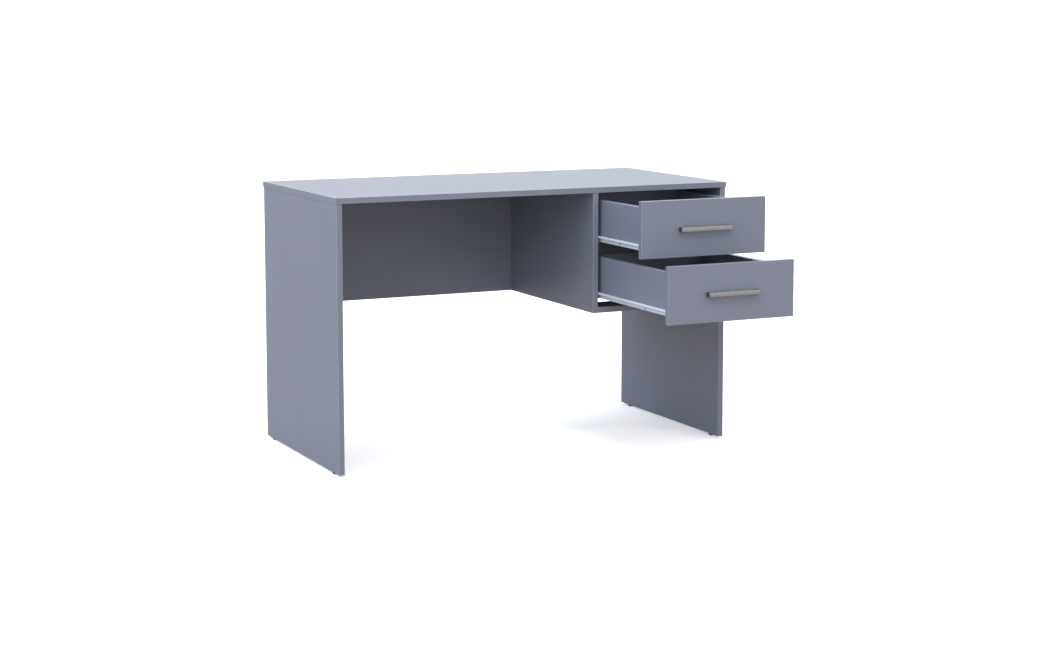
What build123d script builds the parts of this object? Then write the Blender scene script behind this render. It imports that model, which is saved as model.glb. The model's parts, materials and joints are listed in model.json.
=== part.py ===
from build123d import *
import os

os.makedirs("parts", exist_ok=True)

# Desk with a hanging pedestal of two drawers on roller runners. Millimetres, +Z up, floor at Z 0.

# overall size
desk_width = 1200.0
desk_depth = 600.0
desk_height = 753.0

# boards and their edge strips
board = 16.0
top_strip = 2.0
thin_strip = 1.0
top_ease = 0.7
thin_ease = 0.45
overhang = 2.0
glide_height = 5.0

# hanging pedestal on the right
apron_height = 341.0
apron_setback = 42.0
bay_width = 398.0
rail_depth = 100.0

# drawer fronts, set in between the panels
front_height = 157.0
gap_side = 2.5
gap_below = 2.5
gap_between = 3.5

# drawer box
box_length = 450.0
box_height = 117.0
box_above_front = 22.3
side_clearance = 12.5
hardboard = 3.0
groove_depth = 5.2
groove_height = 3.2
groove_above_box = 9.0

# how far each drawer stands open, and the full travel
upper_open = 246.5
lower_open = 395.6
full_travel = 400.0

# bar handle
handle_length = 160.0
handle_height = 12.0
handle_depth = 18.0
handle_bar = 6.0
handle_leg = 12.0
handle_below_middle = 1.5

# roller runners, in folded sheet steel
sheet = 1.0
runner_height = 17.0
runner_shelf = 13.5
runner_wing_gap = 2.0
runner_lip = 4.0
roller_radius = 8.0
roller_width = 5.4
roller_from_wall = 3.8
roller_bore = 2.38
axle_radius = 2.3
axle_middle = 7.6
axle_from_end = 12.0
channel_below = 1.8
channel_above = 1.8
channel_shelf = 10.6
channel_roof = 9.0
channel_lip = 3.4
channel_setback = 1.5
stop_height = 3.0

# fittings
cam_radius = 7.5
cam_depth = 12.5
cam_reach = 34.0
bolt_hole = 4.0
bolt_thread = 11.0
dowel_radius = 4.0
dowel_length = 30.0
glide_radius = 8.0
glide_from_edge = 50.0

# heights and positions worked out from the sizes above, with Z measured from the panels' lower edges
leg_top = desk_height - glide_height - board
apron_bottom = leg_top - apron_height
left_face = overhang
left_inner = overhang + board
right_face = desk_width - overhang
right_inner = right_face - board
front_line = overhang
back_line = desk_depth - overhang
bay_left = right_inner - bay_width
partition_left = bay_left - board
modesty_front = desk_depth - apron_setback - board
modesty_back = modesty_front + board
bay_middle = (bay_left + right_inner) / 2
front_back = front_line + board
lower_front = apron_bottom + board + gap_below
upper_front = lower_front + front_height + gap_between

# the open lower drawer reaches furthest forward, and the origin is under the middle of the whole
reach = lower_open - front_line + handle_depth
middle_y = (desk_depth - reach) / 2
place = Pos(-desk_width / 2, -middle_y, glide_height)


def block(x0, x1, y0, y1, z0, z1):
    low = (Align.MIN, Align.MIN, Align.MIN)
    return Pos(x0, y0, z0) * Box(x1 - x0, y1 - y0, z1 - z0, align=low)


def rod(start, axis, radius, length):
    low = (Align.CENTER, Align.CENTER, Align.MIN)
    return Plane(origin=start, z_dir=axis).location * Cylinder(radius, length, align=low)


def taper(start, axis, radius, end_radius, length):
    low = (Align.CENTER, Align.CENTER, Align.MIN)
    return Plane(origin=start, z_dir=axis).location * Cone(radius, end_radius, length, align=low)


def edge_strip(corners, outward, along, radius):
    piece = block(*corners)
    end = 0 if outward[0] == "-" else -1
    axes = {"X": Axis.X, "Y": Axis.Y, "Z": Axis.Z}
    outer = piece.faces().sort_by(axes[outward[1]])[end]
    return fillet(outer.edges().filter_by(axes[along]), radius)


def save(name, shapes, where):
    solids = [solid for shape in shapes for solid in shape.solids()]
    whole = Compound(solids) if len(solids) > 1 else solids[0]
    export_step(where * whole, "parts/" + name + ".step")


# A cam fitting joins the edge of one board to the face of another. In its own frame the joint is
# at X 0, the edge board lies along +X with its middle plane at Z 0, and the cam opens at +Z.
def cam_lock(at):
    body = rod((cam_reach, 0, board / 2 - cam_depth), (0, 0, 1), cam_radius, cam_depth)
    mouth = rod((cam_reach - cam_radius - 1, 0, 0), (1, 0, 0), bolt_hole, cam_radius + 2)
    cross_a = block(cam_reach - 4, cam_reach + 4, -0.8, 0.8, board / 2 - 2, board / 2)
    cross_b = block(cam_reach - 0.8, cam_reach + 0.8, -4, 4, board / 2 - 2, board / 2)
    return at * (body - [mouth, cross_a, cross_b])


def cam_bolt(at):
    thread = rod((-bolt_thread, 0, 0), (1, 0, 0), 2.5, bolt_thread)
    collar = rod((0, 0, 0), (1, 0, 0), 3.8, 3)
    shank = rod((3, 0, 0), (1, 0, 0), 2.6, cam_reach - 9)
    head = rod((cam_reach - 6, 0, 0), (1, 0, 0), 3.4, 5)
    return at * (thread + collar + shank + head)


def cam_pocket(at):
    hole = rod((cam_reach, 0, board / 2 - cam_depth), (0, 0, 1), cam_radius, cam_depth)
    bore = rod((0, 0, 0), (1, 0, 0), bolt_hole, cam_reach)
    return at * (hole + bore)


def bolt_pilot(at):
    return at * rod((-bolt_thread, 0, 0), (1, 0, 0), 2.5, bolt_thread)


def dowel(at):
    return at * rod((-bolt_thread, 0, 0), (1, 0, 0), dowel_radius, dowel_length)


def joint(x, y, z, along, opening):
    return Plane(origin=(x, y, z), x_dir=along, z_dir=opening).location


# where the boards of the frame meet: (edge board, face board, cam places, dowel places)
up = (0, 0, 1)
down = (0, 0, -1)
right = (1, 0, 0)
left = (-1, 0, 0)
back = (0, 1, 0)
front = (0, -1, 0)
left_mid = left_face + board / 2
right_mid = right_face - board / 2
partition_mid = partition_left + board / 2
modesty_mid = modesty_front + board / 2
rail_mid = apron_bottom + board / 2
fittings = [
    (
        "left_leg_panel",
        "desktop",
        [joint(left_mid, y, leg_top, down, right) for y in (60, 500)],
        [joint(left_mid, y, leg_top, down, right) for y in (150, 420)],
    ),
    (
        "right_leg_panel",
        "desktop",
        [joint(right_mid, y, leg_top, down, left) for y in (60, 500)],
        [joint(right_mid, y, leg_top, down, left) for y in (150, 420)],
    ),
    (
        "pedestal_partition",
        "desktop",
        [joint(partition_mid, y, leg_top, down, right) for y in (60, 460)],
        [joint(partition_mid, y, leg_top, down, right) for y in (150, 380)],
    ),
    (
        "modesty_panel",
        "desktop",
        [joint(x, modesty_mid, leg_top, down, back) for x in (300, 620, 980)],
        [joint(x, modesty_mid, leg_top, down, back) for x in (160, 460, 880, 1080)],
    ),
    (
        "modesty_panel",
        "left_leg_panel",
        [joint(left_inner, modesty_mid, z, right, back) for z in (440, 650)],
        [joint(left_inner, modesty_mid, 545, right, back)],
    ),
    (
        "modesty_panel",
        "right_leg_panel",
        [joint(right_inner, modesty_mid, z, left, back) for z in (440, 650)],
        [joint(right_inner, modesty_mid, 545, left, back)],
    ),
    (
        "pedestal_partition",
        "modesty_panel",
        [joint(partition_mid, modesty_front, z, front, right) for z in (440, 650)],
        [joint(partition_mid, modesty_front, 545, front, right)],
    ),
    (
        "pedestal_front_rail",
        "pedestal_partition",
        [joint(bay_left, front_line + 50, rail_mid, right, down)],
        [joint(bay_left, front_line + y, rail_mid, right, down) for y in (20, 80)],
    ),
    (
        "pedestal_front_rail",
        "right_leg_panel",
        [joint(right_inner, front_line + 50, rail_mid, left, down)],
        [joint(right_inner, front_line + y, rail_mid, left, down) for y in (20, 80)],
    ),
]

cam_locks = []
cam_bolts = []
dowels = []
cuts = {}
for edge_board, face_board, cams, pegs in fittings:
    for at in cams:
        cam_locks.append(cam_lock(at))
        cam_bolts.append(cam_bolt(at))
        cuts.setdefault(edge_board, []).append(cam_pocket(at))
        cuts.setdefault(face_board, []).append(bolt_pilot(at))
    for at in pegs:
        dowels.append(dowel(at))
        cuts.setdefault(edge_board, []).append(dowel(at))
        cuts.setdefault(face_board, []).append(dowel(at))

# floor glides, one at each end of each leg panel, held by a nail
glides = []
nails = []
for x, panel in ((left_mid, "left_leg_panel"), (right_mid, "right_leg_panel")):
    for y in (front_line + glide_from_edge, back_line - glide_from_edge):
        nail = rod((x, y, -3), up, 3.0, 1.0) + rod((x, y, -2), up, 1.0, 16.0)
        pad = rod((x, y, -glide_height), up, glide_radius, glide_height)
        pad = fillet(pad.edges().group_by(Axis.Z)[0], 1.2)
        glides.append(pad - nail)
        nails.append(nail)
        cuts[panel].append(nail)


# Runners are drawn against the left wall of the bay at X 0, with Z 0 at the drawer runner's
# underside, Y 0 at the drawer front's inner face, and mirrored for the right wall.
def channel(roof_start):
    y0 = channel_setback
    y1 = box_length - axle_from_end + roller_radius + 0.5 + sheet
    top = runner_height + channel_above
    web = block(0, sheet, y0, y1, -channel_below, top)
    shelf = block(0, channel_shelf, y0, y1, -channel_below, sheet - channel_below)
    lip_low = channel_shelf - sheet
    lip = block(lip_low, channel_shelf, y0, y1, -channel_below, channel_lip - channel_below)
    roof = block(0, channel_roof, roof_start, y1, top - sheet, top)
    stop_top = runner_height - runner_lip - 1
    rear_stop = block(0, channel_roof, y1 - sheet, y1, -channel_below, stop_top)
    first = box_length - axle_from_end - full_travel
    reach_in = (roller_radius**2 - (roller_radius - stop_height) ** 2) ** 0.5
    stop_end = first - reach_in - 0.6
    bump = block(sheet, lip_low, stop_end - 3, stop_end, -channel_below, stop_height - 0.8)
    return web + shelf + lip + roof + rear_stop + bump


def wing(length):
    web = block(side_clearance - sheet, side_clearance, 0, length, 0, runner_height)
    shelf_end = side_clearance + runner_shelf
    shelf = block(side_clearance - sheet, shelf_end, 0, length, 0, sheet)
    top = block(runner_wing_gap, side_clearance, 0, length, runner_height - sheet, runner_height)
    lip_end = runner_wing_gap + sheet
    lip = block(runner_wing_gap, lip_end, 0, length, runner_height - runner_lip, runner_height)
    return web + shelf + top + lip


def roller(y):
    body = rod((roller_from_wall, y, axle_middle), right, roller_radius, roller_width)
    body = chamfer(body.edges(), 0.6)
    bore = rod((roller_from_wall - 1, y, axle_middle), right, roller_bore, roller_width + 2)
    ring = rod((roller_from_wall, y, axle_middle), right, 6.0, 0.8)
    ring = ring - rod((roller_from_wall, y, axle_middle), right, 4.2, 0.8)
    far = Pos(roller_width - 0.8, 0, 0) * ring
    return body - [bore, ring, far]


def wall_axle(y):
    roller_end = roller_from_wall + roller_width
    pin = rod((0, y, axle_middle), right, axle_radius, roller_end + 0.9)
    collar = rod((sheet, y, axle_middle), right, 3.2, roller_from_wall - sheet - 0.1)
    head = rod((roller_end + 0.1, y, axle_middle), right, 3.5, 0.8)
    return pin + collar + head


def drawer_axle(y):
    roller_end = roller_from_wall + roller_width
    collar_length = side_clearance - sheet - roller_end - 0.1
    pin = rod((roller_from_wall - 0.9, y, axle_middle), right, axle_radius,
              side_clearance - roller_from_wall + 0.9)
    collar = rod((roller_end + 0.1, y, axle_middle), right, 3.2, collar_length)
    head = rod((roller_from_wall - 0.9, y, axle_middle), right, 3.5, 0.8)
    return pin + collar + head


def wall_screw(y):
    head = rod((sheet, y, 8.0), right, 3.8, 1.4)
    shank = rod((-12, y, 8.0), right, 2.5, 12 + sheet)
    recess_a = block(sheet + 0.6, sheet + 1.4, y - 2.2, y + 2.2, 7.55, 8.45)
    recess_b = block(sheet + 0.6, sheet + 1.4, y - 0.45, y + 0.45, 5.8, 10.2)
    return (head + shank) - [recess_a, recess_b]


def wall_screw_hole(y):
    return rod((-12, y, 8.0), right, 2.5, 12 + sheet)


def side_screw_space(y):
    cone = taper((side_clearance - sheet, y, 5.5), right, 2.6, 1.6, 1.6)
    return cone + rod((side_clearance, y, 5.5), right, 1.6, 11)


def side_screw(y):
    recess_a = block(side_clearance - sheet, side_clearance - 0.3, y - 1.7, y + 1.7, 5.2, 5.8)
    recess_b = block(side_clearance - sheet, side_clearance - 0.3, y - 0.3, y + 0.3, 3.8, 7.2)
    return side_screw_space(y) - [recess_a, recess_b]


front_roller_y = channel_setback + axle_from_end
rear_roller_y = box_length - axle_from_end
wall_screws_y = (37.0 + 32.0, 37.0 + 192.0, 37.0 + 352.0)
side_screws_y = (125.0, 405.0)
mirror_bay = Plane(origin=(bay_middle, 0, 0), z_dir=(1, 0, 0))


def on_side(shape, side):
    return shape if side == "left" else mirror(shape, about=mirror_bay)


# the parts of each runner pair that stay on the walls of the bay
wall_screws = []
wall_axles = []
for level, front_bottom in (("lower", lower_front), ("upper", upper_front)):
    runner_at = Pos(bay_left, front_back, front_bottom + box_above_front - sheet)
    for side, wall in (("left", "pedestal_partition"), ("right", "right_leg_panel")):
        rail = channel(channel_setback)
        holes = [wall_screw_hole(y) for y in wall_screws_y]
        pin_hole = rod((-1, front_roller_y, axle_middle), right, axle_radius, 3)
        name = level + "_" + side
        save(name + "_cabinet_runner", [on_side(runner_at * (rail - holes - [pin_hole]), side)], place)
        save(name + "_cabinet_roller", [on_side(runner_at * roller(front_roller_y), side)], place)
        wall_axles.append(on_side(runner_at * wall_axle(front_roller_y), side))
        for y in wall_screws_y:
            wall_screws.append(on_side(runner_at * wall_screw(y), side))
            cuts[wall].append(on_side(runner_at * wall_screw_hole(y), side))

# frame boards, each smaller than its finished size by the strips on its edges
strip = thin_strip
frame = {
    "desktop": block(top_strip, desk_width - top_strip, top_strip, desk_depth - top_strip,
                     leg_top, leg_top + board),
    "left_leg_panel": block(left_face, left_inner, front_line + strip, back_line - strip,
                            strip, leg_top),
    "right_leg_panel": block(right_inner, right_face, front_line + strip, back_line - strip,
                             strip, leg_top),
    "pedestal_partition": block(partition_left, bay_left, front_line + strip, modesty_front,
                                apron_bottom + strip, leg_top),
    "modesty_panel": block(left_inner, right_inner, modesty_front, modesty_back,
                           apron_bottom + strip, leg_top),
    "pedestal_front_rail": block(bay_left, right_inner, front_line + strip,
                                 front_line + rail_depth - strip, apron_bottom, apron_bottom + board),
}
for name, solid in frame.items():
    save(name, [solid - cuts[name]], place)

# edge strips, each with the long edges of its outer face eased
depth_inside = desk_depth - top_strip
width_inside = desk_width - top_strip
top_z = leg_top + board
top_strips = [
    edge_strip((0, desk_width, 0, top_strip, leg_top, top_z), "-Y", "X", top_ease),
    edge_strip((0, desk_width, depth_inside, desk_depth, leg_top, top_z), "+Y", "X", top_ease),
    edge_strip((0, top_strip, top_strip, depth_inside, leg_top, top_z), "-X", "Y", top_ease),
    edge_strip((width_inside, desk_width, top_strip, depth_inside, leg_top, top_z), "+X", "Y", top_ease),
]
save("desktop_edge_bands", top_strips, place)

frame_strips = []
front_edge = (front_line, front_line + strip)
for x0, x1 in ((left_face, left_inner), (right_inner, right_face)):
    frame_strips += [
        edge_strip((x0, x1, *front_edge, 0, leg_top), "-Y", "Z", thin_ease),
        edge_strip((x0, x1, back_line - strip, back_line, 0, leg_top), "+Y", "Z", thin_ease),
        edge_strip((x0, x1, front_line + strip, back_line - strip, 0, strip), "-Z", "Y", thin_ease),
    ]
rail_back = front_line + rail_depth
rail_top = apron_bottom + board
low_edge = (apron_bottom, apron_bottom + strip)
frame_strips += [
    edge_strip((partition_left, bay_left, *front_edge, apron_bottom, leg_top), "-Y", "Z", thin_ease),
    edge_strip((partition_left, bay_left, front_line + strip, modesty_front, *low_edge),
               "-Z", "Y", thin_ease),
    edge_strip((left_inner, right_inner, modesty_front, modesty_back, *low_edge), "-Z", "X", thin_ease),
    edge_strip((bay_left, right_inner, *front_edge, apron_bottom, rail_top), "-Y", "X", thin_ease),
    edge_strip((bay_left, right_inner, rail_back - strip, rail_back, apron_bottom, rail_top),
               "+Y", "X", thin_ease),
]
save("frame_edge_bands", [piece - nails for piece in frame_strips], place)

save("floor_glides", glides, place)
save("glide_nails", nails, place)
save("cam_locks", cam_locks, place)
save("cam_bolts", cam_bolts, place)
save("dowels", dowels, place)
save("cabinet_roller_axles", wall_axles, place)
save("cabinet_runner_screws", wall_screws, place)


# A drawer, drawn shut, with every piece that travels with it
def drawer(level, front_bottom, open_by):
    where = place * Pos(0, -open_by, 0)
    side_low = bay_left + side_clearance
    side_high = right_inner - side_clearance
    box_bottom = front_bottom + box_above_front
    box_top = box_bottom + box_height
    box_back = front_back + box_length
    face_left = bay_left + gap_side
    face_right = right_inner - gap_side
    runner_at = Pos(bay_left, front_back, box_bottom - sheet)
    cam_heights = (box_bottom + 30, box_bottom + 92)

    groove_z = box_bottom + groove_above_box
    groove = block(side_low + board - groove_depth, side_high - board + groove_depth,
                   front_back - groove_depth, box_back - board + groove_depth,
                   groove_z, groove_z + groove_height)
    side_groove = block(side_low + board - groove_depth, side_high - board + groove_depth,
                        front_back, box_back, groove_z, groove_z + groove_height)
    sheet_edge = groove_depth - 0.2
    bottom = block(side_low + board - sheet_edge, side_high - board + sheet_edge,
                   front_back - sheet_edge, box_back - board + sheet_edge,
                   groove_z, groove_z + hardboard)
    save(level + "_drawer_bottom", [bottom], where)

    # handle and its two screws, put in from inside the drawer
    handle_z = front_bottom + front_height / 2 - handle_below_middle
    z0 = handle_z - handle_height / 2
    z1 = handle_z + handle_height / 2
    x0 = bay_middle - handle_length / 2
    x1 = bay_middle + handle_length / 2
    y0 = front_line - handle_depth
    bar = block(x0, x1, y0, front_line, z0, z1)
    grip = block(x0 + handle_leg, x1 - handle_leg, y0 + handle_bar, front_line + 1, z0 - 1, z1 + 1)
    handle = fillet((bar - grip).edges().group_by(Axis.Y)[0], 0.6)
    handle_screws = []
    screw_holes = []
    for x in (x0 + handle_leg / 2, x1 - handle_leg / 2):
        hole = rod((x, front_back, handle_z), front, 2.0, board + 8)
        head = rod((x, front_back, handle_z), back, 4.0, 2.2)
        slot_a = block(x - 2.2, x + 2.2, front_back + 1, front_back + 2.2, handle_z - 0.45, handle_z + 0.45)
        slot_b = block(x - 0.45, x + 0.45, front_back + 1, front_back + 2.2, handle_z - 2.2, handle_z + 2.2)
        screw_holes.append(hole)
        handle_screws.append((hole + head) - [slot_a, slot_b])
    save(level + "_drawer_handle", [handle - screw_holes], where)
    save(level + "_drawer_handle_screws", handle_screws, where)

    # cams that pull the front onto the sides, and screws that hold the back between them
    locks = []
    bolts = []
    back_screws = []
    pockets = {"left": [], "right": []}
    face_cuts = []
    back_cuts = []
    for side, inner in (("left", right), ("right", left)):
        middle = side_low + board / 2 if side == "left" else side_high - board / 2
        start = side_low if side == "left" else side_high
        for z in cam_heights:
            at = joint(middle, front_back, z, back, inner)
            locks.append(cam_lock(at))
            bolts.append(cam_bolt(at))
            pockets[side].append(cam_pocket(at))
            face_cuts.append(bolt_pilot(at))
            screw_y = box_back - board / 2
            head = rod((start, screw_y, z), inner, 4.8, 3.0)
            shank = rod((start, screw_y, z), inner, 3.0, 50.0)
            socket = rod((start, screw_y, z), inner, 1.8, 2.0)
            back_screws.append((head + shank) - socket)
            pockets[side].append(head + shank)
            back_cuts.append(shank)
    save(level + "_drawer_cam_locks", locks, where)
    save(level + "_drawer_cam_bolts", bolts, where)
    save(level + "_drawer_box_screws", back_screws, where)

    # runner pieces that travel
    side_screws = []
    axles = []
    for side in ("left", "right"):
        spaces = [side_screw_space(y) for y in side_screws_y]
        pin_hole = rod((side_clearance - 2, rear_roller_y, axle_middle), right, axle_radius, 4)
        rail = wing(box_length) - spaces - [pin_hole]
        save(level + "_drawer_" + side + "_runner", [on_side(runner_at * rail, side)], where)
        save(level + "_drawer_" + side + "_roller",
             [on_side(runner_at * roller(rear_roller_y), side)], where)
        axles.append(on_side(runner_at * drawer_axle(rear_roller_y), side))
        for y in side_screws_y:
            side_screws.append(on_side(runner_at * side_screw(y), side))
            pockets[side].append(on_side(runner_at * side_screw_space(y), side))
    save(level + "_drawer_roller_axles", axles, where)
    save(level + "_drawer_runner_screws", side_screws, where)

    # boards
    face = block(face_left + strip, face_right - strip, front_line, front_back,
                 front_bottom + strip, front_bottom + front_height - strip)
    save(level + "_drawer_front", [face - ([groove] + screw_holes + face_cuts)], where)
    left_side = block(side_low, side_low + board, front_back, box_back, box_bottom, box_top - strip)
    right_side = block(side_high - board, side_high, front_back, box_back, box_bottom, box_top - strip)
    back_board = block(side_low + board, side_high - board, box_back - board, box_back,
                       box_bottom, box_top - strip)
    save(level + "_drawer_left_side", [left_side - ([side_groove] + pockets["left"])], where)
    save(level + "_drawer_right_side", [right_side - ([side_groove] + pockets["right"])], where)
    save(level + "_drawer_back", [back_board - ([groove] + back_cuts)], where)

    top_z = front_bottom + front_height
    inner_z = (front_bottom + strip, top_z - strip)
    board_edge = (front_line, front_back)
    box_edge = (box_top - strip, box_top)
    strips = [
        edge_strip((face_left, face_right, *board_edge, front_bottom, inner_z[0]), "-Z", "X", thin_ease),
        edge_strip((face_left, face_right, *board_edge, inner_z[1], top_z), "+Z", "X", thin_ease),
        edge_strip((face_left, face_left + strip, *board_edge, *inner_z), "-X", "Z", thin_ease),
        edge_strip((face_right - strip, face_right, *board_edge, *inner_z), "+X", "Z", thin_ease),
        edge_strip((side_low, side_low + board, front_back, box_back, *box_edge), "+Z", "Y", thin_ease),
        edge_strip((side_high - board, side_high, front_back, box_back, *box_edge), "+Z", "Y", thin_ease),
        edge_strip((side_low + board, side_high - board, box_back - board, box_back, *box_edge),
                   "+Z", "X", thin_ease),
    ]
    save(level + "_drawer_edge_bands", strips, where)


drawer("upper", upper_front, upper_open)
drawer("lower", lower_front, lower_open)
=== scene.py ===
import json
import math
import bmesh
import bpy
import numpy as np
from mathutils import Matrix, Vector

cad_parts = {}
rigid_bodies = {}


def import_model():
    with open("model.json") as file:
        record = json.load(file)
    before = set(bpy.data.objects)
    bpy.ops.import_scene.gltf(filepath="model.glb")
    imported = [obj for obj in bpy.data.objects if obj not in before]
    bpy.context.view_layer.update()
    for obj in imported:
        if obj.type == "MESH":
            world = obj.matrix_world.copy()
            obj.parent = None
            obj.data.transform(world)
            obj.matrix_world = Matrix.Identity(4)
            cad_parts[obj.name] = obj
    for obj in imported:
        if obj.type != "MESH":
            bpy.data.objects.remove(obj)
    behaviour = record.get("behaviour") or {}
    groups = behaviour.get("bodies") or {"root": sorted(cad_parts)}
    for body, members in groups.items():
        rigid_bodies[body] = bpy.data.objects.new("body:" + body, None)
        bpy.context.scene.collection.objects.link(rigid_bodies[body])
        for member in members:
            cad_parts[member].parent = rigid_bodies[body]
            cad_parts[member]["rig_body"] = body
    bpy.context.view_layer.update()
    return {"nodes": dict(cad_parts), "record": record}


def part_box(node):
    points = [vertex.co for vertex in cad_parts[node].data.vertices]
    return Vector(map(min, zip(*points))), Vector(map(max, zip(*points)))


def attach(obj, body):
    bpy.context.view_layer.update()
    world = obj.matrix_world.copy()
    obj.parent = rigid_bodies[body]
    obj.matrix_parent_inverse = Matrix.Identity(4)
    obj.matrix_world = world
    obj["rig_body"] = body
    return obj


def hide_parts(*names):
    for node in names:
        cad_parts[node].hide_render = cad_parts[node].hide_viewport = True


# Writing desk with two drawers: grey-blue melamine boards, white roller runners, nickel bar handles.
# Everything is in metres, with the floor at Z 0 and the desk's front towards -Y.

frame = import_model()
nodes = frame["nodes"]
bodyOf = {name: nodes[name]["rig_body"] for name in nodes}
slotOf = {part["node"]: part.get("material_slot") for part in frame["record"]["subparts"]}
mm = 0.001
levels = ("upper", "lower")
sides = ("left", "right")
noiseLow, noiseHigh = 0.3, 0.7      # most of a noise texture's values lie between these
print("frame loaded:", len(nodes), "nodes")


# Helpers for colour and nodes.
def linear(hexColour):
    # sRGB hex to linear: the low end is a straight line, the rest a 2.4 power
    parts = np.array([int(hexColour[i:i + 2], 16) for i in (1, 3, 5)]) / 255
    low = parts / 12.92
    high = ((parts + 0.055) / 1.055) ** 2.4
    return (*np.where(parts <= 0.04045, low, high).tolist(), 1.0)


def newMaterial(name):
    material = bpy.data.materials.new(name)
    material.use_nodes = True
    tree = material.node_tree
    tree.nodes.clear()
    output = tree.nodes.new("ShaderNodeOutputMaterial")
    shader = tree.nodes.new("ShaderNodeBsdfPrincipled")
    tree.links.new(shader.outputs[0], output.inputs[0])
    return material, tree, shader


def addNode(tree, kind, settings=None, inputs=None):
    # settings go on the node itself; an input is a plain value, or a socket to link from
    node = tree.nodes.new(kind)
    for key, value in (settings or {}).items():
        setattr(node, key, value)
    for key, value in (inputs or {}).items():
        if isinstance(value, bpy.types.NodeSocket):
            tree.links.new(value, node.inputs[key])
        else:
            node.inputs[key].default_value = value
    return node


def feed(tree, shader, inputs):
    for key, value in inputs.items():
        if isinstance(value, bpy.types.NodeSocket):
            tree.links.new(value, shader.inputs[key])
        else:
            shader.inputs[key].default_value = value


def strayed(noise, middle, polish):
    # Map Range inputs that turn a noise texture into values round a middle one
    return {0: noise.outputs[0], 1: noiseLow, 2: noiseHigh, 3: middle + polish[0], 4: middle + polish[1]}


# Melamine-faced chipboard, pressed against a pearl-textured plate: a matte grey-blue face with a very
# fine pebble that softens reflections, faint cloudiness from the printed paper, and a raw chipboard
# core wherever a board is cut across its thickness.
melamine = {
    "face": "#7A7F8A",
    "cloud": "#757B87",
    "cloudSize": 90 * mm,
    "pebble": 2.4 * mm,         # the real pearl is 0.4 mm, drawn coarser so that it shows
    "pebbleHeight": 0.05 * mm,
    "roughness": 0.36,
    "polish": (-0.05, 0.07),    # how far the roughness strays to either side
    "core": "#B79B74",
    "coreDark": "#7E6547",
    "chip": 2.4 * mm,
}


def melamineFaced(name, thicknessAxis):
    m = melamine
    material, tree, shader = newMaterial(name)
    place = addNode(tree, "ShaderNodeTexCoord")
    cloud = addNode(tree, "ShaderNodeTexNoise", None,
                    {"Vector": place.outputs["Object"], "Scale": 1 / m["cloudSize"], "Detail": 3.0})
    face = addNode(tree, "ShaderNodeMix", {"data_type": "RGBA"},
                   {0: cloud.outputs[0], 6: linear(m["face"]), 7: linear(m["cloud"])})
    # flat flakes of the core, stretched a little in the board's plane
    chips = addNode(tree, "ShaderNodeTexVoronoi", None,
                    {"Vector": place.outputs["Object"], "Scale": 1 / m["chip"]})
    core = addNode(tree, "ShaderNodeMix", {"data_type": "RGBA"},
                   {0: chips.outputs["Color"], 6: linear(m["core"]), 7: linear(m["coreDark"])})
    turn = addNode(tree, "ShaderNodeSeparateXYZ", None, {0: place.outputs["Normal"]})
    across = addNode(tree, "ShaderNodeMath", {"operation": "ABSOLUTE"}, {0: turn.outputs[thicknessAxis]})
    cut = addNode(tree, "ShaderNodeMath", {"operation": "LESS_THAN"}, {0: across.outputs[0], 1: 0.5})
    colour = addNode(tree, "ShaderNodeMix", {"data_type": "RGBA"},
                     {0: cut.outputs[0], 6: face.outputs[2], 7: core.outputs[2]})
    pebble = addNode(tree, "ShaderNodeTexNoise", None,
                     {"Vector": place.outputs["Object"], "Scale": 1 / m["pebble"], "Detail": 2.0})
    rough = addNode(tree, "ShaderNodeMapRange", None, strayed(pebble, m["roughness"], m["polish"]))
    bump = addNode(tree, "ShaderNodeBump", None,
                   {"Strength": 0.6, "Distance": m["pebbleHeight"], "Height": pebble.outputs[0]})
    feed(tree, shader, {"Base Color": colour.outputs[2], "Roughness": rough.outputs[0],
                        "Normal": bump.outputs[0], "IOR": 1.5})
    return material


boardX = melamineFaced("melamineFacedChipboardX", "X")
boardY = melamineFaced("melamineFacedChipboardY", "Y")
boardZ = melamineFaced("melamineFacedChipboardZ", "Z")

# the axis across each board's thickness
boardAcross = {
    "desktop": boardZ, "pedestal_front_rail": boardZ, "modesty_panel": boardY,
    "left_leg_panel": boardX, "right_leg_panel": boardX, "pedestal_partition": boardX,
}
for level in levels:
    boardAcross[level + "_drawer_front"] = boardY
    boardAcross[level + "_drawer_back"] = boardY
    for side in sides:
        boardAcross[level + "_drawer_" + side + "_side"] = boardX

# Edge strip, extruded ABS ironed on and scraped flush: the same grey, a touch glossier than the
# faces, faintly speckled, with a thin paler line along its rounded corners, a painted highlight.
edging = {
    "face": "#757B86",
    "worn": "#7C828D",
    # painted highlight: the paler colour of the rounded corners
    "paintedHighlight": "#ADB0B9",
    "roughness": 0.32,
    "polish": (-0.02, 0.03),
    "speckle": 5 * mm,
    "squareOn": 0.985,          # below this the largest part of the normal means a rounded corner
}


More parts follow.
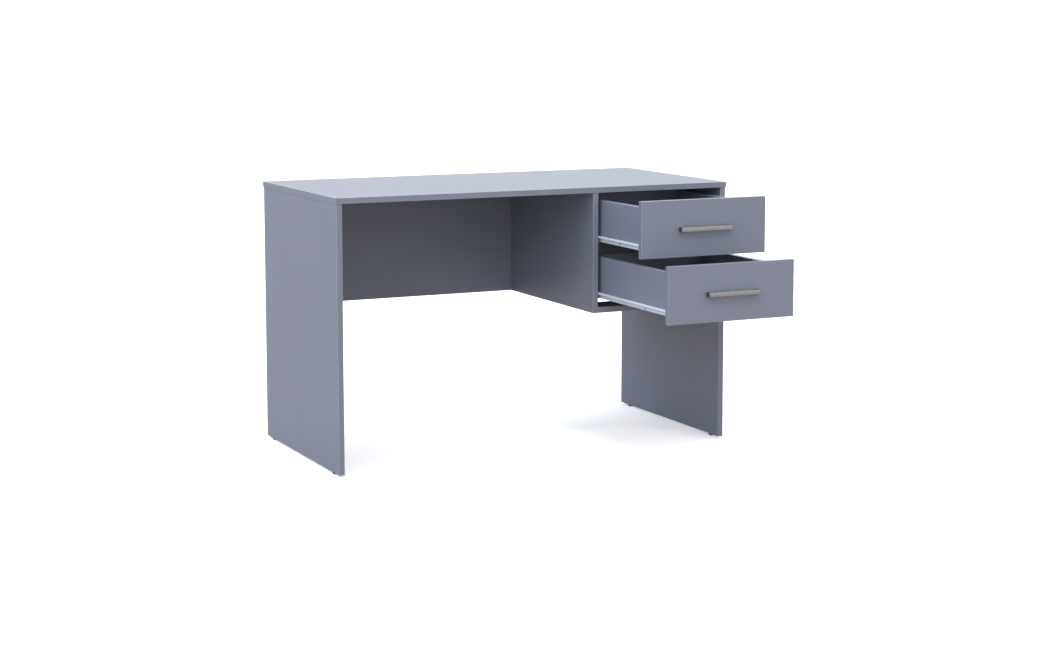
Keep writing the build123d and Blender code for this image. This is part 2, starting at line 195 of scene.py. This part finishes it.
def extrudedEdging():
    m = edging
    material, tree, shader = newMaterial("extrudedEdgeStrip")
    place = addNode(tree, "ShaderNodeTexCoord")
    speckle = addNode(tree, "ShaderNodeTexNoise", None,
                      {"Vector": place.outputs["Object"], "Scale": 1 / m["speckle"], "Detail": 2.0})
    tone = addNode(tree, "ShaderNodeMapRange", None,
                   {0: speckle.outputs[0], 1: 0.35, 2: 0.75, 3: 0.0, 4: 0.2})
    flat = addNode(tree, "ShaderNodeMix", {"data_type": "RGBA"},
                   {0: tone.outputs[0], 6: linear(m["face"]), 7: linear(m["worn"])})
    # a rounded corner is wherever the largest part of the normal is well below 1
    positive = addNode(tree, "ShaderNodeVectorMath", {"operation": "ABSOLUTE"},
                       {0: place.outputs["Normal"]})
    turn = addNode(tree, "ShaderNodeSeparateXYZ", None, {0: positive.outputs[0]})
    largerXY = addNode(tree, "ShaderNodeMath", {"operation": "MAXIMUM"},
                      {0: turn.outputs[0], 1: turn.outputs[1]})
    largest = addNode(tree, "ShaderNodeMath", {"operation": "MAXIMUM"},
                      {0: largerXY.outputs[0], 1: turn.outputs[2]})
    corner = addNode(tree, "ShaderNodeMath", {"operation": "LESS_THAN"},
                     {0: largest.outputs[0], 1: m["squareOn"]})
    # the rounded corners get the painted highlight, a paler line
    colour = addNode(tree, "ShaderNodeMix", {"data_type": "RGBA"},
                     {0: corner.outputs[0], 6: flat.outputs[2], 7: linear(m["paintedHighlight"])})
    rough = addNode(tree, "ShaderNodeMapRange", None, strayed(speckle, m["roughness"], m["polish"]))
    bump = addNode(tree, "ShaderNodeBump", None,
                   {"Strength": 0.15, "Distance": 0.02 * mm, "Height": speckle.outputs[0]})
    feed(tree, shader, {"Base Color": colour.outputs[2], "Roughness": rough.outputs[0],
                        "Normal": bump.outputs[0], "IOR": 1.5})
    return material


# Hardboard, pressed wood fibre: the face towards the drawer is printed grey, the underside and the
# edges are bare, a warm brown felt of fibres.
fibre = {
    "print": "#74767F",
    "brown": "#A67A4C",
    "brownLight": "#C0945F",
    "fibreLength": 4 * mm,
    "printRoughness": 0.5,
    "bareRoughness": 0.82,
}


def pressedFibre():
    m = fibre
    material, tree, shader = newMaterial("pressedHardboard")
    place = addNode(tree, "ShaderNodeTexCoord")
    felt = addNode(tree, "ShaderNodeTexNoise", None,
                   {"Vector": place.outputs["Object"], "Scale": 1 / m["fibreLength"], "Detail": 6.0,
                    "Roughness": 0.7, "Distortion": 1.5})
    brown = addNode(tree, "ShaderNodeMix", {"data_type": "RGBA"},
                    {0: felt.outputs[0], 6: linear(m["brown"]), 7: linear(m["brownLight"])})
    turn = addNode(tree, "ShaderNodeSeparateXYZ", None, {0: place.outputs["Normal"]})
    up = addNode(tree, "ShaderNodeMath", {"operation": "GREATER_THAN"}, {0: turn.outputs["Z"], 1: 0.5})
    colour = addNode(tree, "ShaderNodeMix", {"data_type": "RGBA"},
                     {0: up.outputs[0], 6: brown.outputs[2], 7: linear(m["print"])})
    rough = addNode(tree, "ShaderNodeMapRange", None,
                    {0: up.outputs[0], 3: m["bareRoughness"], 4: m["printRoughness"]})
    bump = addNode(tree, "ShaderNodeBump", None,
                   {"Strength": 0.4, "Distance": 0.1 * mm, "Height": felt.outputs[0]})
    feed(tree, shader, {"Base Color": colour.outputs[2], "Roughness": rough.outputs[0],
                        "Normal": bump.outputs[0], "IOR": 1.5})
    return material


# White epoxy powder coat on rolled steel: cool white, a soft sheen and a slight orange peel.
powder = {
    "coat": "#DEE3E9",
    "shade": "#CFD5DB",
    "peel": 1.4 * mm,
    "roughness": 0.32,
    "polish": (-0.02, 0.08),
    "topCoat": 0.15,
    "topCoatRoughness": 0.2,
}


def powderCoat():
    m = powder
    material, tree, shader = newMaterial("whitePowderCoatedSteel")
    place = addNode(tree, "ShaderNodeTexCoord")
    peel = addNode(tree, "ShaderNodeTexNoise", None,
                   {"Vector": place.outputs["Object"], "Scale": 1 / m["peel"], "Detail": 2.0})
    colour = addNode(tree, "ShaderNodeMix", {"data_type": "RGBA"},
                     {0: peel.outputs[0], 6: linear(m["coat"]), 7: linear(m["shade"])})
    rough = addNode(tree, "ShaderNodeMapRange", None, strayed(peel, m["roughness"], m["polish"]))
    bump = addNode(tree, "ShaderNodeBump", None,
                   {"Strength": 0.5, "Distance": 0.06 * mm, "Height": peel.outputs[0]})
    feed(tree, shader, {"Base Color": colour.outputs[2], "Roughness": rough.outputs[0],
                        "Normal": bump.outputs[0], "IOR": 1.5,
                        "Coat Weight": m["topCoat"], "Coat Roughness": m["topCoatRoughness"]})
    return material


# Small fittings, in metal: they differ only in tone, roughness and the mottle that their making leaves.
def metalFinish(name, bright, dark, roughness, mottled, mottleSize, bumpHeight):
    material, tree, shader = newMaterial(name)
    place = addNode(tree, "ShaderNodeTexCoord")
    mottle = addNode(tree, "ShaderNodeTexNoise", None,
                     {"Vector": place.outputs["Object"], "Scale": 1 / mottleSize, "Detail": 3.0})
    tone = addNode(tree, "ShaderNodeMapRange", None, strayed(mottle, 0.0, (0.0, mottled)))
    colour = addNode(tree, "ShaderNodeMix", {"data_type": "RGBA"},
                     {0: tone.outputs[0], 6: linear(bright), 7: linear(dark)})
    rough = addNode(tree, "ShaderNodeMapRange", None, strayed(mottle, roughness, (-0.06, 0.1)))
    bump = addNode(tree, "ShaderNodeBump", None,
                   {"Strength": 0.5, "Distance": bumpHeight, "Height": mottle.outputs[0]})
    feed(tree, shader, {"Base Color": colour.outputs[2], "Roughness": rough.outputs[0],
                        "Normal": bump.outputs[0], "Metallic": 1.0})
    return material


# Moulded plastics: smooth, faintly uneven in gloss; nylon also lets light soak into its thin rims.
def mouldedPlastic(name, colour, shade, roughness, grainSize, subsurface):
    material, tree, shader = newMaterial(name)
    place = addNode(tree, "ShaderNodeTexCoord")
    grain = addNode(tree, "ShaderNodeTexNoise", None,
                    {"Vector": place.outputs["Object"], "Scale": 1 / grainSize, "Detail": 2.0})
    mix = addNode(tree, "ShaderNodeMix", {"data_type": "RGBA"},
                  {0: grain.outputs[0], 6: linear(colour), 7: linear(shade)})
    rough = addNode(tree, "ShaderNodeMapRange", None, strayed(grain, roughness, (-0.05, 0.08)))
    bump = addNode(tree, "ShaderNodeBump", None,
                   {"Strength": 0.3, "Distance": 0.05 * mm, "Height": grain.outputs[0]})
    feed(tree, shader, {"Base Color": mix.outputs[2], "Roughness": rough.outputs[0],
                        "Normal": bump.outputs[0], "IOR": 1.53, "Subsurface Weight": subsurface,
                        "Subsurface Scale": 1 * mm})
    return material


# Bar handle of brushed nickel: a warm grey with a fine lengthwise grain on its face, while the ends
# and the narrow edges get a darker blue-grey as painted shade.
nickel = {
    "face": "#BDBAB8",
    "faceDark": "#949290",
    # painted shade: the darker blue-grey given to the ends and the narrow edges
    "paintedShade": "#7C808A",
    "grain": 0.5 * mm,
    "lengthwise": (0.12, 1, 1),     # the grain is drawn out along the bar, about eight times
    "facing": -0.75,                # where the normal points further to the front than this is the face
    "roughness": 0.38,
    "polish": (-0.06, 0.1),
}


def brushedNickelPaintedShade():
    m = nickel
    material, tree, shader = newMaterial("brushedNickelPaintedShadeEnds")
    place = addNode(tree, "ShaderNodeTexCoord")
    along = addNode(tree, "ShaderNodeMapping", None,
                    {"Vector": place.outputs["Object"], "Scale": m["lengthwise"]})
    grain = addNode(tree, "ShaderNodeTexNoise", None,
                    {"Vector": along.outputs[0], "Scale": 1 / m["grain"], "Detail": 3.0})
    tone = addNode(tree, "ShaderNodeMapRange", None, {0: grain.outputs[0], 1: 0.35, 2: 0.65})
    brushed = addNode(tree, "ShaderNodeMix", {"data_type": "RGBA"},
                      {0: tone.outputs[0], 6: linear(m["face"]), 7: linear(m["faceDark"])})
    turn = addNode(tree, "ShaderNodeSeparateXYZ", None, {0: place.outputs["Normal"]})
    facing = addNode(tree, "ShaderNodeMath", {"operation": "LESS_THAN"},
                     {0: turn.outputs["Y"], 1: m["facing"]})
    # the face keeps the brushed nickel, the ends and narrow edges get the painted shade colour
    colour = addNode(tree, "ShaderNodeMix", {"data_type": "RGBA"},
                     {0: facing.outputs[0], 6: linear(m["paintedShade"]), 7: brushed.outputs[2]})
    rough = addNode(tree, "ShaderNodeMapRange", None, strayed(grain, m["roughness"], m["polish"]))
    bump = addNode(tree, "ShaderNodeBump", None,
                   {"Strength": 0.5, "Distance": 0.02 * mm, "Height": grain.outputs[0]})
    feed(tree, shader, {"Base Color": colour.outputs[2], "Roughness": rough.outputs[0],
                        "Normal": bump.outputs[0], "Metallic": 1.0})
    return material


# Beech dowel rod, fluted and cut: pale pink-brown wood with short dark ray flecks.
beech = {"fleck": "#C79A6B", "wood": "#E2BE94", "fleckSize": 1.5 * mm, "roughness": 0.62}


def turnedBeech():
    m = beech
    material, tree, shader = newMaterial("turnedBeech")
    place = addNode(tree, "ShaderNodeTexCoord")
    flecks = addNode(tree, "ShaderNodeTexNoise", None,
                     {"Vector": place.outputs["Object"], "Scale": 1 / m["fleckSize"], "Detail": 4.0})
    colour = addNode(tree, "ShaderNodeMix", {"data_type": "RGBA"},
                     {0: flecks.outputs[0], 6: linear(m["fleck"]), 7: linear(m["wood"])})
    bump = addNode(tree, "ShaderNodeBump", None,
                   {"Strength": 0.4, "Distance": 0.1 * mm, "Height": flecks.outputs[0]})
    feed(tree, shader, {"Base Color": colour.outputs[2], "Roughness": m["roughness"],
                        "Normal": bump.outputs[0], "IOR": 1.5})
    return material


finishes = {
    "blue_grey_edge_strip": extrudedEdging(),
    "grey_hardboard": pressedFibre(),
    "white_coated_steel": powderCoat(),
    # zinc-plated steel: bright, faintly blue, with a fine crystalline mottle
    "zinc_plated_steel": metalFinish("zincPlatedSteel", "#C4C8CE", "#9EA5AE", 0.3, 0.5,
                                     0.8 * mm, 0.02 * mm),
    # die-cast zinc alloy: dull grey with the mould's grain
    "zinc_die_cast": metalFinish("dieCastZinc", "#A9ABAE", "#8B8E93", 0.46, 0.6,
                                 0.6 * mm, 0.04 * mm),
    "brushed_nickel": brushedNickelPaintedShade(),
    # nylon roller: milky white and slightly glossy
    "white_nylon": mouldedPlastic("mouldedNylon", "#ECEAE4", "#E2E0DA", 0.38, 2 * mm, 0.2),
    # black polyethylene glide: waxy, dark, slightly scuffed
    "black_plastic": mouldedPlastic("mouldedPolyethylene", "#1D1D1F", "#2A2A2C", 0.5, 1.2 * mm, 0.0),
    "beech": turnedBeech(),
}
# the drawer runners' own screws are coloured near-black, painted shade of the runner's shaded channel
# they sit in: small dark dots on the white steel
runnerScrewPaintedShade = metalFinish("zincScrewPaintedShade", "#2E3034", "#1E2024", 0.42, 0.6,
                        0.8 * mm, 0.02 * mm)
print("materials made:", len(bpy.data.materials))

for name, obj in nodes.items():
    material = boardAcross.get(name) or finishes[slotOf[name]]
    if obj.data.materials:
        for i in range(len(obj.data.materials)):
            obj.data.materials[i] = material
    else:
        obj.data.materials.append(material)
print("materials on the boards and fittings")


# New pieces are surfaces worked out as whole arrays.
def gridFaces(rows, columns, closed=True):
    # quads between neighbouring rows; each row is a ring unless closed is False
    across = np.arange(columns if closed else columns - 1)
    row, column = np.meshgrid(np.arange(rows - 1), across, indexing="ij")
    beside = (column + 1) % columns
    corners = [row * columns + column, row * columns + beside,
               (row + 1) * columns + beside, (row + 1) * columns + column]
    return np.stack(corners, -1).reshape(-1, 4).tolist()


def joined(shapes):
    # several (points, faces) shapes as one, each one's face numbers shifted past those before it
    starts = np.cumsum([0] + [len(points) for points, faces in shapes])
    moved = []
    for start, (points, faces) in zip(starts, shapes):
        moved += [[start + i for i in face] for face in faces]
    return np.concatenate([points for points, faces in shapes]), moved


doublesWithin = 0.0001 * mm
sharpFrom = math.radians(32)


def makePiece(name, shape, material, body, replaced):
    # doubles at seams and poles are merged, then the faces are turned outwards
    points, faces = shape
    mesh = bpy.data.meshes.new(name)
    mesh.from_pydata(points.tolist(), [], faces)
    work = bmesh.new()
    work.from_mesh(mesh)
    bmesh.ops.remove_doubles(work, verts=work.verts, dist=doublesWithin)
    bmesh.ops.recalc_face_normals(work, faces=work.faces)
    work.to_mesh(mesh)
    work.free()
    mesh.shade_smooth()
    mesh.set_sharp_from_angle(angle=sharpFrom)
    mesh.materials.append(material)
    piece = bpy.data.objects.new(name, mesh)
    bpy.context.scene.collection.objects.link(piece)
    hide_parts(replaced)
    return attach(piece, body)


def roundedPath(corners, radii, steps, closed):
    # straight runs joined by arcs: at each corner the arc touches both runs at radius·tan(half the turn)
    corners = np.array(corners, float)
    found = []
    for i, (corner, radius) in enumerate(zip(corners, radii)):
        if not closed and i in (0, len(corners) - 1):
            found.append(corner[None])
            continue
        before = corners[i - 1] - corner
        after = corners[(i + 1) % len(corners)] - corner
        before /= np.linalg.norm(before)
        after /= np.linalg.norm(after)
        half = math.acos(np.clip(before @ after, -1, 1)) / 2
        middle = corner + (before + after) / np.linalg.norm(before + after) * radius / math.sin(half)
        start = corner + before * radius / math.tan(half) - middle
        end = corner + after * radius / math.tan(half) - middle
        span = math.pi - 2 * half
        t = np.linspace(0, span, steps)[:, None]
        found.append(middle + (start * np.sin(span - t) + end * np.sin(t)) / math.sin(span))
    return np.concatenate(found)


def sideways(path, closed):
    # unit normals of a flat path, square to the line between each point's neighbours
    if closed:
        run = np.roll(path, -1, 0) - np.roll(path, 1, 0)
    else:
        run = np.gradient(path, axis=0)
    run /= np.linalg.norm(run, axis=1)[:, None]
    return np.stack([run[:, 1], -run[:, 0]], -1)


# Bar handle: a U of solid bar seen from above, its outline carried up through quarter-round edges.
handle = {"leg": 12 * mm, "bar": 6 * mm, "corner": 1.1 * mm, "wallCorner": 0.5 * mm, "ease": 0.45 * mm}


def barHandle(level):
    h = handle
    low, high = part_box(level + "_drawer_handle")
    inLeft, inRight = low.x + h["leg"], high.x - h["leg"]
    barBack = low.y + h["bar"]
    corners = [(low.x, high.y), (low.x, low.y), (high.x, low.y), (high.x, high.y),
               (inRight, high.y), (inRight, barBack), (inLeft, barBack), (inLeft, high.y)]
    radii = [h["wallCorner"], h["corner"], h["corner"], h["wallCorner"]] * 2
    outline = roundedPath(corners, radii, 7, True)
    outward = sideways(outline, True)
    turn = np.linspace(0, math.pi / 2, 6)
    inset = h["ease"] * (1 - np.sin(turn))
    rise = h["ease"] * (1 - np.cos(turn))
    insets = np.concatenate([inset, inset[::-1]])
    heights = np.concatenate([low.z + rise, (high.z - rise)[::-1]])
    flat = outline[None] - insets[:, None, None] * outward[None]
    rings = np.concatenate([flat, np.broadcast_to(heights[:, None, None], (*flat.shape[:2], 1))], -1)
    count = len(outline)
    faces = gridFaces(len(heights), count)
    faces += [list(range(count)), list(range(count * (len(heights) - 1), count * len(heights)))]
    return rings.reshape(-1, 3), faces


# Drawer runner: one strip of sheet steel folded four ways. Its section is the strip's middle line,
# with a round bend at each fold, set out by half the sheet's thickness to either side.
runner = {"sheet": 1 * mm, "bend": 1.0 * mm, "lip": 4 * mm, "shelf": 13.5 * mm}


def foldedRunner(level, side):
    r = runner
    low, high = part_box(level + "_drawer_" + side + "_runner")
    half = r["sheet"] / 2
    width = high.x - low.x
    webAt = width - r["shelf"] - half
    corners = [(half, high.z - r["lip"]), (half, high.z - half), (webAt, high.z - half),
               (webAt, low.z + half), (width, low.z + half)]
    middle = roundedPath(corners, [r["bend"]] * 5, 8, False)
    offset = sideways(middle, False) * half
    section = np.concatenate([middle + offset, (middle - offset)[::-1]])
    count, total = len(middle), len(section)
    across = low.x + section[:, 0] if side == "left" else high.x - section[:, 0]
    ends = [np.stack([across, np.full(total, y), section[:, 1]], -1) for y in (low.y, high.y)]
    faces = gridFaces(2, total)
    for start in (0, total):
        near = np.arange(count - 1)
        cap = np.stack([near, near + 1, total - 2 - near, total - 1 - near], -1) + start
        faces += cap.tolist()
    return np.concatenate(ends), faces


# Screw with a cross recess: a turned profile whose domed top is sunk inside two crossed bars, each
# with sloping walls so that the drive tapers inwards.
runnerScrew = {
    "radius": 2.9 * mm,
    "dome": 0.35 * mm,
    "neck": 2.2 * mm,
    "shank": 1.6 * mm,
    "length": 12 * mm,
    "recess": (1.9 * mm, 0.55 * mm, 1.1 * mm),      # half a bar's length, half its width, its depth
    "slope": 0.35,                                  # share of the half width that slopes
    "fromFront": (125 * mm, 405 * mm),
    "height": 5.5 * mm,
    "rings": 22,
    "steps": 72,
}


def crossScrew(centre, along):
    # radius · t outwards and dome · (1 − t²) upwards over the head, then in steps down to the point
    r = runnerScrew
    radius, neck, shank, length = r["radius"], r["neck"], r["shank"], r["length"]
    t = np.linspace(0, 1, r["rings"])
    top = np.stack([radius * t, r["dome"] * (1 - t * t)], -1)
    below = [(neck, neck - radius), (shank, shank - radius), (shank, -length), (0, -length)]
    profile = np.concatenate([top, below])
    turn = np.linspace(0, 2 * math.pi, r["steps"], endpoint=False)
    x = profile[:, :1] * np.cos(turn)
    y = profile[:, :1] * np.sin(turn)
    arm, wide, deep = r["recess"]
    slope = r["slope"] * wide
    barA = np.clip((arm - abs(x)) / wide, 0, 1) * np.clip((wide - abs(y)) / slope, 0, 1)
    barB = np.clip((arm - abs(y)) / wide, 0, 1) * np.clip((wide - abs(x)) / slope, 0, 1)
    sunk = np.maximum(barA, barB) * deep
    sunk[len(top):] = 0
    z = np.repeat(profile[:, 1:], r["steps"], 1) - sunk
    local = np.stack([x, y, z], -1).reshape(-1, 3)
    axis = np.array(along, float)
    across = np.cross((0, 0, 1), axis)
    points = np.array(centre) + local @ np.stack([across, np.cross(axis, across), axis])
    return points, gridFaces(len(profile), r["steps"])


def runnerScrews(level):
    r = runnerScrew
    shapes = []
    for side in sides:
        low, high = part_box(level + "_drawer_" + side + "_runner")
        depth = runner["shelf"] + runner["sheet"]
        face = high.x - depth if side == "left" else low.x + depth
        out = (-1, 0, 0) if side == "left" else (1, 0, 0)
        for y in r["fromFront"]:
            centre = (face, low.y + y, low.z + r["height"])
            shapes.append(crossScrew(centre, out))
    return joined(shapes)


for level in levels:
    body = bodyOf[level + "_drawer_front"]
    makePiece(level + "_bar_handle", barHandle(level), finishes["brushed_nickel"], body,
              level + "_drawer_handle")
    for side in sides:
        makePiece(level + "_" + side + "_folded_runner", foldedRunner(level, side),
                  finishes["white_coated_steel"], body,
                  level + "_drawer_" + side + "_runner")
    makePiece(level + "_runner_cross_screws", runnerScrews(level), runnerScrewPaintedShade, body,
              level + "_drawer_runner_screws")
print("handles, runners and their screws made")


# Studio: white floor, soft daylight from the room and five soft lamps far away, and the camera.
studio = {
    "floorHalf": 90.0,
    "seenFloor": "#FFFFFF",
    "seenGlow": 0.3,
    "bounceFloor": "#A09692",
    "bounceDrop": 1 * mm,
    "patchesPerMetre": 3.0,     # the unevenness of the floor's gloss
    "world": "#F7F8FE",
    "worldStrength": 1.37,
}


def floorSheet(name, colour, height, glow):
    # one flat square, with a faint unevenness in its gloss
    half = studio["floorHalf"]
    corners = np.array([(-half, -half, height), (half, -half, height),
                        (half, half, height), (-half, half, height)])
    mesh = bpy.data.meshes.new(name)
    mesh.from_pydata(corners.tolist(), [], [(0, 1, 2, 3)])
    floor = bpy.data.objects.new(name, mesh)
    bpy.context.scene.collection.objects.link(floor)
    material, tree, shader = newMaterial(name + "Paint")
    place = addNode(tree, "ShaderNodeTexCoord")
    soft = addNode(tree, "ShaderNodeTexNoise", None,
                   {"Vector": place.outputs["Object"], "Scale": studio["patchesPerMetre"]})
    rough = addNode(tree, "ShaderNodeMapRange", None, {0: soft.outputs[0], 3: 0.7, 4: 0.9})
    feed(tree, shader, {"Base Color": linear(colour), "Roughness": rough.outputs[0],
                        "Emission Color": linear(colour), "Emission Strength": glow})
    mesh.materials.append(material)
    return floor


def paleFloor():
    # The room is whiter than the light it sends back up on the desk, so there are two sheets: the white
    # one is what the camera sees, faintly lit from beneath as a product table is, and the greyer one just
    # under it gives the light that comes up from below.
    seen = floorSheet("whiteFloor", studio["seenFloor"], 0, studio["seenGlow"])
    seen.visible_diffuse = False
    seen.visible_glossy = False
    seen.visible_transmission = False
    seen.visible_shadow = False
    bounce = floorSheet("bounceFloor", studio["bounceFloor"], -studio["bounceDrop"], 0)
    bounce.visible_camera = False


# direction the light travels, strength on a facing surface, colour, and how wide the source looks
lamps = {
    "frontKey": ((0.2, 0.76, -1.0), 0.5, "#FFFFFF", 8),
    "leftWindow": ((1.0, 1.12, -0.55), 0.3, "#C8DEFF", 15),
    "leftLamp": ((0.8, 0.4, -1.0), 0.36, "#FFECDC", 6),
    "leftSky": ((1.0, 0.0, -0.35), 0.65, "#90C6FF", 60),
    "rearLamp": ((0.9, -0.52, -1.0), 0.25, "#C4E0FF", 8),
}


def softLamp(name):
    travel, strength, colour, width = lamps[name]
    data = bpy.data.lights.new(name, "SUN")
    data.energy = strength
    data.color = linear(colour)[:3]
    data.angle = math.radians(width)
    lamp = bpy.data.objects.new(name, data)
    bpy.context.scene.collection.objects.link(lamp)
    lamp.rotation_mode = "QUATERNION"
    lamp.rotation_quaternion = Vector(travel).to_track_quat("-Z", "Y")


def whiteRoom():
    world = bpy.data.worlds.new("whiteRoom")
    bpy.context.scene.world = world
    world.use_nodes = True
    background = world.node_tree.nodes["Background"]
    background.inputs[0].default_value = linear(studio["world"])
    background.inputs[1].default_value = studio["worldStrength"]


# a little below eye height, off the front left corner; the small shift keeps uprights nearly upright
view = {
    "sensor": 36.0,
    "lens": 70.391,
    "shift": -0.06,
    "farEnd": 300.0,
    "place": (-2.51383, -5.22275, 1.25368),
    "downBy": math.radians(6.925),
    "heading": -0.450993,
}


def makeCamera():
    data = bpy.data.cameras.new("camera")
    data.sensor_width = view["sensor"]
    data.lens = view["lens"]
    data.shift_y = view["shift"]
    data.clip_end = view["farEnd"]
    camera = bpy.data.objects.new("camera", data)
    bpy.context.scene.collection.objects.link(camera)
    camera.location = view["place"]
    camera.rotation_euler = (math.pi / 2 - view["downBy"], 0, view["heading"])
    bpy.context.scene.camera = camera


paleFloor()
whiteRoom()
for name in lamps:
    softLamp(name)
makeCamera()
bpy.context.scene.view_settings.view_transform = "Standard"
bpy.context.scene.view_settings.look = "None"
print("studio ready")
